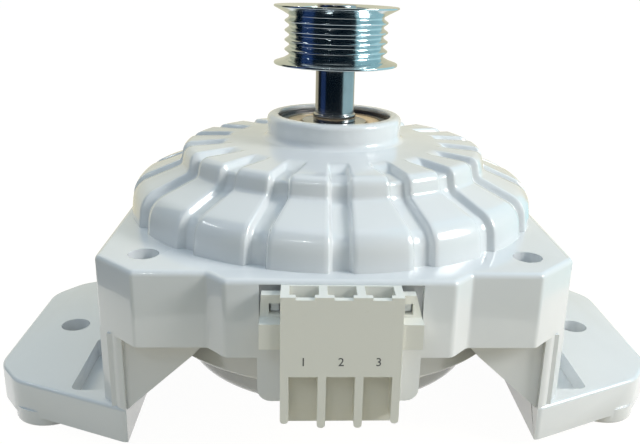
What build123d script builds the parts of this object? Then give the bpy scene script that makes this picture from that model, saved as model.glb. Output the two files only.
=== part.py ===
"""Belt-drive brushless motor of a washing machine.

Sizes are in millimetres. Z is up along the shaft, the terminal block faces -Y, and the origin lies
on the shaft's axis, on the top face of the square plate.
"""
import os
from math import pi
from build123d import *

os.makedirs("parts", exist_ok=True)

# Shared small values
overrun = 1.0
touch_gap = 0.1
full_turn = 360

# Plate with chamfered corners and a front step
plate_side_margin = 0.3
plate_front_trim = 0.8
plate_chamfer_x = 9.5
plate_chamfer_y = 9.5
step_half_width = 25.6
step_depth = 4.4
step_run = 4.0
plate_height = 17.2
plate_edge_radius = 1.2
plate_hole_radius = 3.3
plate_hole_depth = 12.0
plate_hole_inset_x = 10.3
plate_hole_inset_y = 10.0

# Dome, measured up from the plate
dome_radius = 52.0
dome_draft = 0.9
dome_shoulder_height = 7.4
dome_shoulder_radius = 6.5
dome_roof_rise = 4.7
tier_inset = 12.8
tier_foot_radius = 1.5
tier_draft = 0.7
tier_rise = 4.5
tier_shoulder_radius = 2.4
tier_roof_rise = 1.3
tier_roof_thickness = 3.8
collar_wall = 1.6
collar_lip = 0.5
collar_undercut = 0.3
collar_foot_radius = 1.6
collar_rise = 6.1
collar_rim_radius = 2.2

# Radial grooves in the dome
groove_count = 18
groove_width = 4.3
groove_depth = 1.6
groove_end_inset = 11.2
groove_ramp = 3.2

# Lower cylinder of the housing and its cover
barrel_inset = 4.4
barrel_height = 11.8
barrel_wall = 11.6
seam_gap = 0.5
cover_inset = 8.4
cover_height = 10.1
cover_edge_radius = 3.0
cover_floor = 2.4
cover_ring_width = 9.4
spigot_height = 3.0
spigot_wall = 2.4
spigot_clearance = 0.1
pocket_wall = 3.0
cover_rib_count = 8
cover_rib_width = 2.0
cover_rib_height = 5.0

# Cover screws
screw_count = 4
screw_inset = 3.0
screw_radius = 2.0
screw_length = 14.5
screw_head_radius = 3.6
screw_head_height = 2.2
screw_drive_radius = 1.7
screw_drive_depth = 1.3
screw_hole_clearance = 0.2
screw_boss_radius = 3.9
screw_boss_height = 8.0

# Boss of the front wall behind the terminal block
bay_half_width = 16.6
bay_depth = 2.6
bay_top = 1.5
bay_bottom = 11.8
front_boss_half_width = 17.0
front_boss_drop = 10.2
front_boss_depth = 22.0
front_boss_edge_radius = 2.8

# Side walls, webs and foot pads
wall_clearance = 0.1
wall_front_inset = 4.7
wall_front_radius = 2.3
post_width = 1.0
foot_centre_y = -4.0
foot_bottom = 43.5
pad_thickness = 8.6
pad_length = 29.5
pad_tip_taper = 21.4
pad_corner_radius = 10.0
pad_edge_radius = 1.0
pad_shoulder_inset = 6.3
pad_shoulder_taper = 12.9
pad_hole_radius = 3.7
pad_hole_inset = 12.3
boss_radius = 8.6
boss_drop = 2.5
boss_inset_x = 13.0
boss_inset_y = 5.8
boss_edge_radius = 0.6
trough_width = 7.4
trough_inset = 8.2
trough_bridge = 16.4
trough_depth = 4.6
trough_corner_radius = 1.5
web_thickness = 4.0
web_inset = 1.4
web_knee_inset = 7.7
web_knee_rise = 0.9
web_toe_inset = 20.3
web_toe_drop = 5.4
web_top_inset = 25.3

# Stator
core_inset = 7.5
core_height = 21.0
core_yoke = 6.5
core_ring_width = 20.0
tooth_count = 12
tooth_width_share = 0.546
shoe_depth = 2.0
shoe_width_share = 0.826
coil_space_height = 5.8
insulator_plate = 1.0
insulator_wall = 1.2
insulator_wall_height = 3.6
insulator_tooth_cover = 0.4
insulator_shoe_margin = 0.3
coil_shoe_gap = 0.5
coil_wall_gap = 1.1
coil_thickness_share = 0.21
coil_edge_radius = 0.8
guide_ring_width = 5.6
guide_ring_height = 1.6
neutral_ring_width = 1.4
neutral_ring_height = 1.0
neutral_ring_inset = 3.4

# Rotor
air_gap = 0.5
magnet_thickness = 3.0
magnet_count = 8
magnet_gap = 0.4
rotor_core_inset = 1.0
hub_web_height = 7.0
hub_boss_share = 0.28
hub_rim_share = 0.69

# Shaft
shaft_radius = 5.0
shaft_chamfer = 0.5
shaft_end_inset = 0.4
shaft_end_reach = 0.4
shaft_ring_width = 0.5
shaft_ring_height = 1.9
shaft_centre_radius = 1.2
shaft_centre_depth = 2.0
ring_groove_depth = 0.4
retaining_ring_width = 2.4
retaining_ring_height = 1.0
retaining_ring_clearance = 0.04

# Ball bearings, both alike
bearing_radius = 15.0
bearing_height = 9.0
ball_radius = 2.381
ball_count = 8
ball_clearance = 0.03
race_radius = 2.48
inner_shoulder_offset = 1.7
outer_shoulder_offset = 1.8
bearing_edge_radius = 0.5
cage_wall = 1.8
cage_height = 6.4
cage_pocket_clearance = 0.12
shield_thickness = 0.3
shield_inset = 0.4
shield_clearance = 0.15
shield_seat = 0.5
upper_bearing_drop = 1.7
lower_bearing_floor = 2.3
cup_wall = 0.8
cup_lip = 0.5
cup_lip_reach = 0.8
cup_tail = 0.6
washer_height = 0.6
washer_width = 3.0
washer_side_gap = 0.3
washer_wave_count = 3
washer_notch_radius = 0.6

# Pulley
pulley_standoff = 12.6
groove_pitch = 2.34
belt_groove_count = 5
rib_crest_radius = 13.3
rib_depth = 1.7
rib_crest_flat = 0.36
rib_valley_flat = 0.3
flange_reach = 2.4
flange_thickness = 1.2
upper_flange_thickness = 1.5
flange_rim = 0.45
flange_edge_radius = 0.2
pulley_rim_wall = 2.0
pulley_recess_depth = 1.2

# Terminal block
block_half_width = 12.1
block_depth = 6.4
block_top = 0.9
block_overhang = 2.4
outer_rib_lift = 1.0
back_plate_drop = 0.6
block_wall = 1.7
block_front_wall = 1.5
block_back_wall = 0.6
channel_count = 3
front_plate_height = 17.2
channel_depth = 4.8
partition_top = 12.0
partition_height = 2.0
pocket_notch_depth = 0.5
pocket_notch_share = 0.62
tab_reach = 4.2
tab_top = 1.9
tab_drop = 10.5
tab_thin = 2.2
tab_thick = 5.6
tab_step = 5.1
tab_slant = 1.2
window_size = 2.3
window_inset = 1.4
window_drop = 2.0
hook_clearance = 0.25
hook_reach = 1.2

# Blade terminals
blade_width = 4.8
blade_thickness = 0.8
blade_top = 6.6
blade_bottom = 15.8
tail_width = 3.0
tail_set_back = 4.95
tail_clearance = 0.1


# Values worked out from those above
plate_half_width = dome_radius + plate_side_margin
plate_half_depth = dome_radius - plate_front_trim
plate_hole_x = plate_half_width - plate_hole_inset_x
plate_hole_y = plate_half_depth - plate_hole_inset_y
step_front = plate_half_depth + step_depth
corner_x = plate_half_width - plate_chamfer_x
corner_y = plate_half_depth - plate_chamfer_y
tier_radius = dome_radius - tier_inset
tier_foot_height = dome_shoulder_height + dome_roof_rise
tier_shoulder_height = tier_foot_height + tier_rise
collar_foot_height = tier_shoulder_height + tier_roof_rise
collar_height = collar_foot_height + collar_rise
groove_start_radius = tier_radius - groove_end_inset
wall_front_x = plate_half_width - wall_front_inset
wall_front_y = -corner_y - wall_front_inset * plate_chamfer_y / plate_chamfer_x
post_inner_x = wall_front_x - post_width
pad_top = foot_bottom - pad_thickness
pad_reach = plate_half_width + pad_length
foot_half_depth = foot_centre_y - wall_front_y
pad_shoulder_y = foot_half_depth - pad_shoulder_taper
web_front = wall_front_y + web_inset
web_back = web_front + web_thickness
barrel_radius = dome_radius - barrel_inset
seam_height = plate_height + barrel_height
cover_top = -seam_height - seam_gap
cover_bottom = cover_top - cover_height
barrel_inner_radius = barrel_radius - barrel_wall
wall_inner_x = barrel_radius + wall_clearance
cover_radius = barrel_radius - cover_inset
screw_circle_radius = barrel_inner_radius - screw_inset
upper_bearing_top = collar_height - upper_bearing_drop
upper_bearing_bottom = upper_bearing_top - bearing_height
lower_bearing_bottom = cover_bottom + lower_bearing_floor + washer_height
lower_bearing_top = lower_bearing_bottom + bearing_height
ball_circle_radius = (bearing_radius + shaft_radius) / 2
inner_ring_shoulder = ball_circle_radius - inner_shoulder_offset
outer_ring_shoulder = ball_circle_radius + outer_shoulder_offset
cup_radius = bearing_radius + cup_wall
cup_top = upper_bearing_top + cup_lip
cup_bottom = upper_bearing_bottom - cup_tail
collar_radius = cup_radius + collar_wall
collar_opening_radius = bearing_radius - collar_lip
core_radius = dome_radius - core_inset
coil_space_high = tier_shoulder_height - tier_roof_thickness
core_high = coil_space_high - coil_space_height
core_low = core_high - core_height
coil_space_radius = barrel_inner_radius
slot_radius = core_radius - core_yoke
core_bore_radius = core_radius - core_ring_width
tooth_pitch = 2 * pi * core_bore_radius / tooth_count
tooth_width = tooth_pitch * tooth_width_share
shoe_width = tooth_pitch * shoe_width_share
coil_thickness = tooth_pitch * coil_thickness_share
coil_inner_radius = core_bore_radius + shoe_depth + coil_shoe_gap
coil_outer_radius = coil_space_radius - touch_gap - insulator_wall - coil_wall_gap
neutral_ring_radius = coil_space_radius - neutral_ring_inset
magnet_radius = core_bore_radius - air_gap
rotor_core_radius = magnet_radius - magnet_thickness
rotor_core_bore = shaft_radius + (rotor_core_radius - shaft_radius) * hub_rim_share
hub_boss_radius = shaft_radius + (rotor_core_radius - shaft_radius) * hub_boss_share
rotor_low = core_low + rotor_core_inset
rotor_high = core_high - rotor_core_inset
pulley_bottom = collar_height + pulley_standoff
pulley_top = pulley_bottom + flange_thickness + belt_groove_count * groove_pitch + upper_flange_thickness
rib_valley_radius = rib_crest_radius - rib_depth
flange_radius = rib_crest_radius + flange_reach
pulley_recess_radius = rib_valley_radius - pulley_rim_wall
shaft_bottom = lower_bearing_bottom + shaft_end_inset
shaft_top = pulley_top + shaft_end_reach
shaft_ring_radius = shaft_radius + shaft_ring_width
ring_groove_radius = shaft_radius - ring_groove_depth
retaining_ring_radius = shaft_radius + retaining_ring_width
channel_width = (2 * block_half_width - (channel_count + 1) * block_wall) / channel_count
channel_pitch = channel_width + block_wall
block_front = step_front + block_depth
block_bottom = plate_height + front_boss_drop + block_overhang
back_plate_bottom = block_bottom + back_plate_drop
pocket_back = step_front + block_back_wall
pocket_front = block_front - block_front_wall
blade_y = -(pocket_back + pocket_front) / 2
tail_end_y = -barrel_inner_radius - tail_set_back


def disc(radius, low, high):
    return Pos(0, 0, low) * extrude(Circle(radius), high - low)


def tube(outer, inner, low, high):
    return Pos(0, 0, low) * extrude(Circle(outer) - Circle(inner), high - low)


def block(x0, x1, y0, y1, z0, z1):
    centre = Pos((x0 + x1) / 2, (y0 + y1) / 2, (z0 + z1) / 2)
    return centre * Box(x1 - x0, y1 - y0, z1 - z0)


def prism(points, low, high):
    outline = make_face(Polyline(*points, close=True))
    return Pos(0, 0, low) * extrude(outline, high - low)


def turned(*edges):
    """Solid of revolution about Z from an outline of edges in radius and height."""
    return revolve(Plane.XZ * make_face(Wire(edges)), axis=Axis.Z)


def turned_polygon(*points):
    return revolve(Plane.XZ * make_face(Polyline(*points, close=True)), axis=Axis.Z)


def around(solid, count, first=0):
    return [Rot(0, 0, first + full_turn * k / count) * solid for k in range(count)]


def mirrored_y(points, centre=0):
    return [(x, 2 * centre - y) for x, y in reversed(points)]


def write(name, shape):
    solids = [s for item in (shape if isinstance(shape, list) else [shape]) for s in item.solids()]
    export_step(solids[0] if len(solids) == 1 else Compound(children=solids), f"parts/{name}.step")


# Housing
def dome_outline():
    return [
        (dome_radius, 0),
        (dome_radius - dome_draft, dome_shoulder_height),
        (tier_radius, tier_foot_height),
        (tier_radius - tier_draft, tier_shoulder_height),
        (collar_radius - collar_undercut, collar_foot_height),
        (collar_radius, collar_height),
        (collar_opening_radius, collar_height),
    ]


def dome():
    radii = [dome_shoulder_radius, tier_foot_radius, tier_shoulder_radius, collar_foot_radius,
             collar_rim_radius]
    outer = FilletPolyline(*dome_outline(), radius=radii)
    inside = Polyline((collar_opening_radius, collar_height), (0, collar_height), (0, 0),
                      (dome_radius, 0))
    return turned(*outer.edges(), *inside.edges())


def groove_band():
    """Ring-shaped space that the grooves take from the dome."""
    wall, shoulder, foot, tier = dome_outline()[:4]
    floor = [
        (wall[0] - groove_depth, 0),
        (shoulder[0] - groove_depth, shoulder[1] - groove_depth),
        (foot[0] - groove_depth, foot[1] - groove_depth),
        (tier[0] - groove_depth, tier[1] - groove_depth),
        (groove_start_radius + groove_ramp, tier[1] - groove_depth + tier_draft),
        (groove_start_radius, collar_foot_height + overrun),
    ]
    radii = [dome_shoulder_radius - groove_depth, tier_foot_radius + groove_depth,
             tier_shoulder_radius - groove_depth, groove_ramp]
    inner = FilletPolyline(*floor, radius=radii)
    outer = Polyline(floor[-1], (dome_radius + overrun, collar_foot_height + overrun),
                     (dome_radius + overrun, 0), floor[0])
    return turned(*inner.edges(), *outer.edges())


def groove_cutters():
    band = groove_band()
    slab = block(-groove_width / 2, groove_width / 2, -dome_radius - 2 * overrun, 0, -overrun,
                 collar_height)
    one = band & slab
    return around(one, groove_count)


def plate_outline():
    inner = step_half_width - step_run / 2
    outer = step_half_width + step_run / 2
    front_right = [
        (inner, -step_front),
        (outer, -plate_half_depth),
        (corner_x, -plate_half_depth),
        (plate_half_width, -corner_y),
    ]
    back_right = [
        (plate_half_width, corner_y),
        (corner_x, plate_half_depth),
    ]
    right = front_right + back_right
    left = [(-x, y) for x, y in reversed(right)]
    return right + left


def plate():
    body = prism(plate_outline(), -plate_height, 0)
    top = body.faces().sort_by(Axis.Z)[-1]
    return fillet(top.edges(), plate_edge_radius)


def pad_outline():
    """Right foot in plan: pad and side wall, front half and its mirror image."""
    front = [
        (post_inner_x, wall_front_y),
        (wall_front_x, wall_front_y),
        (pad_reach - pad_shoulder_inset, foot_centre_y - pad_shoulder_y),
        (pad_reach, foot_centre_y - foot_half_depth + pad_tip_taper),
    ]
    return front + mirrored_y(front, foot_centre_y)


def rounded_wall_ends(body):
    """Round the upright edges at the front and the back of the side wall."""
    ends = [e for e in body.edges().filter_by(Axis.Z) if abs(e.center().X - wall_front_x) < touch_gap]
    return fillet(ends, wall_front_radius)


def pad():
    body = rounded_wall_ends(prism(pad_outline(), -foot_bottom, -pad_top))
    tips = [e for e in body.edges().filter_by(Axis.Z) if e.center().X > plate_half_width + overrun]
    body = fillet(tips, pad_corner_radius)
    top = body.faces().sort_by(Axis.Z)[-1]
    body = fillet([e for e in top.edges() if e.center().X > plate_half_width], pad_edge_radius)
    for side in (-1, 1):
        foot = disc(boss_radius, -foot_bottom - boss_drop, -foot_bottom + overrun)
        foot = fillet(foot.edges().sort_by(Axis.Z)[0], boss_edge_radius)
        place_y = foot_centre_y + side * (pad_shoulder_y - boss_inset_y)
        body += Pos(pad_reach - boss_inset_x, place_y, 0) * foot
    return body


def trough():
    """Pair of hollows in the pad beside the side wall."""
    far = foot_half_depth - trough_inset
    near = trough_bridge / 2
    outer = plate_half_width + trough_width + trough_corner_radius
    cut = block(plate_half_width, outer, foot_centre_y - far, foot_centre_y - near,
                -pad_top - trough_depth, -pad_top + overrun)
    cut = fillet(cut.edges().filter_by(Axis.Z), trough_corner_radius)
    return [cut, mirror(cut, about=Plane.XZ.offset(-foot_centre_y))]


def side_wall():
    front = [
        (post_inner_x, web_back),
        (post_inner_x, wall_front_y),
        (wall_front_x, wall_front_y),
        (plate_half_width, -corner_y),
    ]
    inside = [(wall_inner_x, 2 * foot_centre_y - web_back), (wall_inner_x, web_back)]
    outline = front + mirrored_y(front, foot_centre_y) + inside
    return rounded_wall_ends(prism(outline, -pad_top - overrun, -plate_height))


def web():
    """Gusset between the plate and the side wall, at the front and at the back."""
    outline = [
        (wall_inner_x + overrun, -plate_height),
        (plate_half_width - web_top_inset, -plate_height),
        (plate_half_width - web_toe_inset, -plate_height - web_toe_drop),
        (plate_half_width - web_knee_inset, -pad_top + web_knee_rise),
        (post_inner_x, -pad_top - overrun),
        (wall_inner_x + overrun, -pad_top - overrun),
    ]
    face = Plane.XZ * make_face(Polyline(*outline, close=True))
    front = Pos(0, web_back, 0) * extrude(face, web_thickness)
    back = Pos(0, 2 * foot_centre_y - web_front, 0) * extrude(face, web_thickness)
    return [front, back]


def foot():
    """Right foot: pad, side wall and webs, cut clear of the round barrel."""
    body = pad() + side_wall() + web() - trough()
    body -= disc(barrel_radius + wall_clearance, -seam_height - overrun, -plate_height)
    hole = disc(pad_hole_radius, -foot_bottom - overrun, -pad_top + overrun)
    return body - Pos(pad_reach - pad_hole_inset, foot_centre_y, 0) * hole


def front_boss():
    body = block(-front_boss_half_width, front_boss_half_width, -step_front,
                 -step_front + front_boss_depth, -plate_height - front_boss_drop,
                 -plate_height + overrun)
    low = body.faces().sort_by(Axis.Z)[0]
    edges = [e for e in low.edges() if e.center().Y < -step_front + front_boss_depth - overrun]
    return fillet(edges, front_boss_edge_radius)


def stator_space():
    """Space in the housing for the stator, the coil ends and the bearing cup."""
    roof = coil_space_high
    boss = cup_radius + pocket_wall
    return turned_polygon(
        (0, -seam_height - overrun),
        (barrel_inner_radius, -seam_height - overrun),
        (barrel_inner_radius, core_low),
        (core_radius, core_low),
        (core_radius, core_high),
        (coil_space_radius, core_high),
        (coil_space_radius, roof),
        (boss, roof),
        (boss, cup_bottom),
        (cup_radius, cup_bottom),
        (cup_radius, cup_top),
        (collar_opening_radius, cup_top),
        (collar_opening_radius, collar_height + overrun),
        (0, collar_height + overrun),
    )


def cover_screw_bosses():
    boss = disc(screw_boss_radius, -seam_height, -seam_height + screw_boss_height)
    pilot = disc(screw_radius, -seam_height - overrun, screw_tip() + overrun / 2)
    one = Pos(screw_circle_radius, 0, 0) * (boss - pilot)
    first = full_turn / screw_count / 2
    return around(one, screw_count, first), around(Pos(screw_circle_radius, 0, 0) * pilot,
                                                   screw_count, first)


def screw_tip():
    return cover_bottom + screw_head_height + screw_length


def terminal_slots():
    half = tail_width / 2 + tail_clearance
    cut = block(-half, half, -step_front - overrun, -barrel_inner_radius + overrun,
                -blade_bottom - tail_clearance, -blade_bottom + blade_thickness + tail_clearance)
    return [Pos(x, 0, 0) * cut for x in channel_places()]


def channel_places():
    return [(k - (channel_count - 1) / 2) * channel_pitch for k in range(channel_count)]


def latch_hooks():
    """Snap hooks of the housing that stand in the windows of the terminal block."""
    low_x = block_half_width + window_inset - window_size / 2 + hook_clearance
    high_x = low_x + window_size - 2 * hook_clearance
    top = -tab_top - window_drop - hook_clearance
    hook = block(low_x, high_x, -step_front - hook_reach, -step_front + bay_depth + overrun,
                 top - window_size + 2 * hook_clearance, top)
    return [hook, mirror(hook, about=Plane.YZ)]


def bay():
    """Shallow space in the skirt behind the upper half of the terminal block."""
    return block(-bay_half_width, bay_half_width, -step_front - overrun, -step_front + bay_depth,
                 -bay_bottom, -bay_top)


def housing_dome():
    return dome() - groove_cutters() - stator_space()


def motor_housing():
    body = plate() + front_boss() + disc(barrel_radius, -seam_height, -plate_height + overrun)
    body -= stator_space()
    body -= bay()
    bosses, pilots = cover_screw_bosses()
    inside = disc(barrel_radius - overrun, -seam_height, -seam_height + screw_boss_height)
    body += [boss & inside for boss in bosses]
    body -= pilots
    hole = disc(plate_hole_radius, -plate_hole_depth, overrun)
    body -= [Pos(x, y, 0) * hole for x in (-plate_hole_x, plate_hole_x)
             for y in (-plate_hole_y, plate_hole_y)]
    body -= terminal_slots()
    return body + latch_hooks()


# Lower cover and its screws
def lower_cover():
    ring_inner = cover_radius - cover_ring_width
    spigot = barrel_inner_radius - spigot_clearance
    outline = turned_polygon(
        (0, cover_bottom),
        (cover_radius, cover_bottom),
        (cover_radius, cover_top),
        (spigot, cover_top),
        (spigot, cover_top + spigot_height),
        (spigot - spigot_wall, cover_top + spigot_height),
        (spigot - spigot_wall, cover_top),
        (ring_inner, cover_top),
        (ring_inner, cover_bottom + cover_floor),
        (bearing_radius + pocket_wall, cover_bottom + cover_floor),
        (bearing_radius + pocket_wall, lower_bearing_top),
        (bearing_radius, lower_bearing_top),
        (bearing_radius, lower_bearing_bottom - washer_height),
        (0, lower_bearing_bottom - washer_height),
    )
    rim = outline.edges().filter_by(GeomType.CIRCLE)
    rim = [e for e in rim if abs(e.radius - cover_radius) < touch_gap
           and abs(e.center().Z - cover_bottom) < touch_gap]
    body = fillet(rim, cover_edge_radius)
    rib = block(bearing_radius + pocket_wall - overrun, ring_inner + overrun, -cover_rib_width / 2,
                cover_rib_width / 2, cover_bottom + cover_floor - overrun,
                cover_bottom + cover_floor + cover_rib_height)
    body += around(rib, cover_rib_count)
    relief = disc(screw_boss_radius + spigot_clearance, cover_top, cover_top + spigot_height + overrun)
    hole = disc(screw_radius + screw_hole_clearance, cover_bottom - overrun, cover_top + overrun)
    sink = disc(screw_head_radius + screw_hole_clearance, cover_bottom - overrun,
                cover_bottom + screw_head_height)
    first = full_turn / screw_count / 2
    body -= around(Pos(screw_circle_radius, 0, 0) * (relief + hole + sink), screw_count, first)
    return body


def cover_screws():
    head = disc(screw_head_radius, cover_bottom, cover_bottom + screw_head_height)
    stem = disc(screw_radius - touch_gap / 2, cover_bottom + screw_head_height, screw_tip())
    drive = Pos(0, 0, cover_bottom) * extrude(RegularPolygon(screw_drive_radius, 6), screw_drive_depth)
    one = Pos(screw_circle_radius, 0, 0) * (head + stem - drive)
    return around(one, screw_count, full_turn / screw_count / 2)


# Stator
def tooth_blank(width, inner, outer, low, high):
    return block(-width / 2, width / 2, -outer, -inner, low, high)


def stator_core():
    body = tube(core_radius, slot_radius, core_low, core_high)
    tooth = tooth_blank(tooth_width, core_bore_radius, slot_radius + overrun, core_low, core_high)
    shoe = tooth_blank(shoe_width, core_bore_radius - overrun, core_bore_radius + shoe_depth,
                       core_low, core_high)
    body += around(tooth + shoe, tooth_count)
    return body - disc(core_bore_radius, core_low - overrun, core_high + overrun)


def insulator(low, high, wall_low, wall_high):
    width = tooth_width + 2 * insulator_tooth_cover
    outer = coil_space_radius - touch_gap
    tooth = tooth_blank(width, core_bore_radius + insulator_shoe_margin, outer - overrun, low, high)
    body = tube(outer, outer - insulator_wall, wall_low, wall_high)
    return body + around(tooth, tooth_count)


def insulator_upper():
    low = core_high
    return insulator(low, low + insulator_plate, low, low + insulator_plate + insulator_wall_height)


def insulator_lower():
    high = core_low
    return insulator(high - insulator_plate, high, high - insulator_plate - insulator_wall_height, high)


def coil():
    half_hole = tooth_width / 2 + insulator_tooth_cover + touch_gap
    half = half_hole + coil_thickness
    low = core_low - insulator_plate - touch_gap
    high = core_high + insulator_plate + touch_gap
    body = block(-half, half, -coil_outer_radius, -coil_inner_radius, low - coil_thickness,
                 high + coil_thickness)
    body = fillet(body.edges().filter_by(Axis.Y), coil_edge_radius)
    window = block(-half_hole, half_hole, -coil_outer_radius - overrun, -coil_inner_radius + overrun,
                   low, high)
    return body - window


def phase_coils(phase):
    step = full_turn / tooth_count
    return [Rot(0, 0, step * k) * coil() for k in range(phase, tooth_count, 3)]


def guide_ring_top():
    return core_low - insulator_plate - insulator_wall_height


def lead_guide_ring():
    top = guide_ring_top()
    outer = coil_space_radius - touch_gap
    body = tube(outer, outer - guide_ring_width, top - guide_ring_height, top)
    half = neutral_ring_width / 2 + touch_gap
    groove = tube(neutral_ring_radius + half, neutral_ring_radius - half, top - neutral_ring_height,
                  top + overrun)
    return body - groove


def neutral_ring():
    top = guide_ring_top()
    half = neutral_ring_width / 2
    return tube(neutral_ring_radius + half, neutral_ring_radius - half, top - neutral_ring_height, top)


# Rotor
def rotor_core():
    return tube(rotor_core_radius, rotor_core_bore, rotor_low, rotor_high)


def rotor_magnets():
    ring = tube(magnet_radius, rotor_core_radius, rotor_low, rotor_high)
    cut = block(-magnet_gap / 2, magnet_gap / 2, -magnet_radius - overrun,
                -rotor_core_radius + overrun, rotor_low - overrun, rotor_high + overrun)
    return ring - around(cut, magnet_count)


def rotor_hub():
    middle = (rotor_low + rotor_high) / 2
    web_low = middle - hub_web_height / 2
    web_high = middle + hub_web_height / 2
    body = tube(rotor_core_bore, shaft_radius, web_low, web_high)
    return body + tube(hub_boss_radius, shaft_radius, rotor_low, rotor_high)


def retaining_ring_places():
    return (upper_bearing_bottom - retaining_ring_height, lower_bearing_top)


def shaft():
    body = disc(shaft_radius, shaft_bottom, shaft_top)
    body = chamfer(body.edges().filter_by(GeomType.CIRCLE), shaft_chamfer)
    body += disc(shaft_ring_radius, upper_bearing_top, upper_bearing_top + shaft_ring_height)
    for low in retaining_ring_places():
        body -= tube(shaft_radius + overrun, ring_groove_radius, low, low + retaining_ring_height)
    centre = Pos(0, 0, shaft_top - shaft_centre_depth / 2)
    return body - centre * Cone(0, shaft_centre_radius, shaft_centre_depth)


def retaining_rings():
    bore = ring_groove_radius + retaining_ring_clearance
    rings = []
    for low in retaining_ring_places():
        ring = tube(retaining_ring_radius, bore, low, low + retaining_ring_height)
        mouth = block(-ring_groove_radius / 2, ring_groove_radius / 2, -retaining_ring_radius - overrun,
                      0, low - overrun, low + retaining_ring_height + overrun)
        rings.append(ring - mouth)
    return rings


def pulley():
    low = pulley_bottom + flange_thickness
    outline = [
        (shaft_radius, pulley_bottom),
        (flange_radius, pulley_bottom),
        (flange_radius, pulley_bottom + flange_rim),
        (rib_crest_radius, low),
    ]
    for k in range(belt_groove_count):
        start = low + k * groove_pitch
        end = start + groove_pitch
        middle = (start + end) / 2
        outline += [
            (rib_crest_radius, start + rib_crest_flat / 2),
            (rib_valley_radius, middle - rib_valley_flat / 2),
            (rib_valley_radius, middle + rib_valley_flat / 2),
            (rib_crest_radius, end - rib_crest_flat / 2),
        ]
    outline += [
        (rib_crest_radius, pulley_top - upper_flange_thickness),
        (flange_radius, pulley_top - flange_rim),
        (flange_radius, pulley_top),
        (pulley_recess_radius, pulley_top),
        (pulley_recess_radius, pulley_top - pulley_recess_depth),
        (shaft_radius, pulley_top - pulley_recess_depth),
    ]
    body = turned_polygon(*outline)
    rims = [e for e in body.edges().filter_by(GeomType.CIRCLE) if abs(e.radius - flange_radius) < touch_gap]
    return fillet(rims, flange_edge_radius)


# Bearings, built with the lower face at height zero
def raceway(centre_radius):
    return Pos(0, 0, bearing_height / 2) * Torus(centre_radius, race_radius)


def shield_seats():
    seat = outer_ring_shoulder + shield_seat
    low = tube(seat, outer_ring_shoulder - overrun, -overrun, shield_inset + shield_thickness)
    high = tube(seat, outer_ring_shoulder - overrun, bearing_height - shield_inset - shield_thickness,
                bearing_height + overrun)
    return [low, high]


def outer_ring():
    body = tube(bearing_radius, outer_ring_shoulder, 0, bearing_height)
    rims = [e for e in body.edges().filter_by(GeomType.CIRCLE) if abs(e.radius - bearing_radius) < touch_gap]
    body = fillet(rims, bearing_edge_radius)
    bottom = ball_circle_radius + ball_radius + ball_clearance
    return body - raceway(bottom - race_radius) - shield_seats()


def inner_ring():
    body = tube(inner_ring_shoulder, shaft_radius, 0, bearing_height)
    bottom = ball_circle_radius - ball_radius - ball_clearance
    return body - raceway(bottom + race_radius)


def ball_places():
    return [Rot(0, 0, full_turn * k / ball_count) * Pos(ball_circle_radius, 0, bearing_height / 2)
            for k in range(ball_count)]


def balls():
    return [place * Sphere(ball_radius) for place in ball_places()]


def cage():
    low = (bearing_height - cage_height) / 2
    outer = ball_circle_radius + cage_wall / 2
    body = tube(outer, outer - cage_wall, low, low + cage_height)
    pocket = Rot(0, full_turn / 4, 0) * Cylinder(ball_radius + cage_pocket_clearance, 2 * ball_radius)
    return body - [place * pocket for place in ball_places()]


def shields():
    outer = outer_ring_shoulder + shield_seat
    inner = inner_ring_shoulder + shield_clearance
    low = tube(outer, inner, shield_inset, shield_inset + shield_thickness)
    high = tube(outer, inner, bearing_height - shield_inset - shield_thickness,
                bearing_height - shield_inset)
    return [low, high]


def bearing_cup():
    lip = bearing_radius - cup_lip_reach
    return turned_polygon(
        (cup_radius, cup_bottom),
        (cup_radius, cup_top),
        (lip, cup_top),
        (lip, upper_bearing_top),
        (bearing_radius, upper_bearing_top),
        (bearing_radius, cup_bottom),
    )


def wave_washer():
    low = lower_bearing_bottom - washer_height
    outer = bearing_radius - washer_side_gap
    body = tube(outer, outer - washer_width, low, lower_bearing_bottom)
    notch = disc(washer_notch_radius, low - overrun, lower_bearing_bottom + overrun)
    return body - around(Pos(outer, 0, 0) * notch, washer_wave_count)


# Terminal block
def connector_housing():
    back = -step_front
    front = -block_front
    body = block(-block_half_width, block_half_width, front, back, -block_bottom, -block_top)
    half = channel_width / 2
    for x in channel_places():
        upper = block(x - half, x + half, -pocket_front, -pocket_back, -partition_top, overrun)
        lower = block(x - half, x + half, front - overrun, front + channel_depth,
                      -block_bottom - overrun, -block_top - front_plate_height)
        hidden = block(x - half, x + half, -pocket_front, front + channel_depth,
                       -block_top - front_plate_height - overrun, -partition_top - partition_height)
        notch_half = half * pocket_notch_share
        notch = block(x - notch_half, x + notch_half, front - overrun, -pocket_front + overrun,
                      -block_top - pocket_notch_depth, overrun)
        body -= [upper, lower, hidden, notch]
    body += block(-block_half_width, block_half_width, front + channel_depth, back, -back_plate_bottom,
                  -block_bottom + overrun)
    for end in (-block_half_width, block_half_width - block_wall):
        body -= block(end, end + block_wall, front - overrun, front + channel_depth,
                      -block_bottom - overrun, -block_bottom + outer_rib_lift)
    body += snap_tabs()
    slots = []
    for x in channel_places():
        slots.append(block(x - blade_width / 2, x + blade_width / 2, blade_y - blade_thickness / 2,
                           blade_y + blade_thickness / 2, -blade_bottom, -blade_top))
        slots.append(block(x - tail_width / 2, x + tail_width / 2, blade_y, back + overrun,
                           -blade_bottom, -blade_bottom + blade_thickness))
    return body - slots


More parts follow.
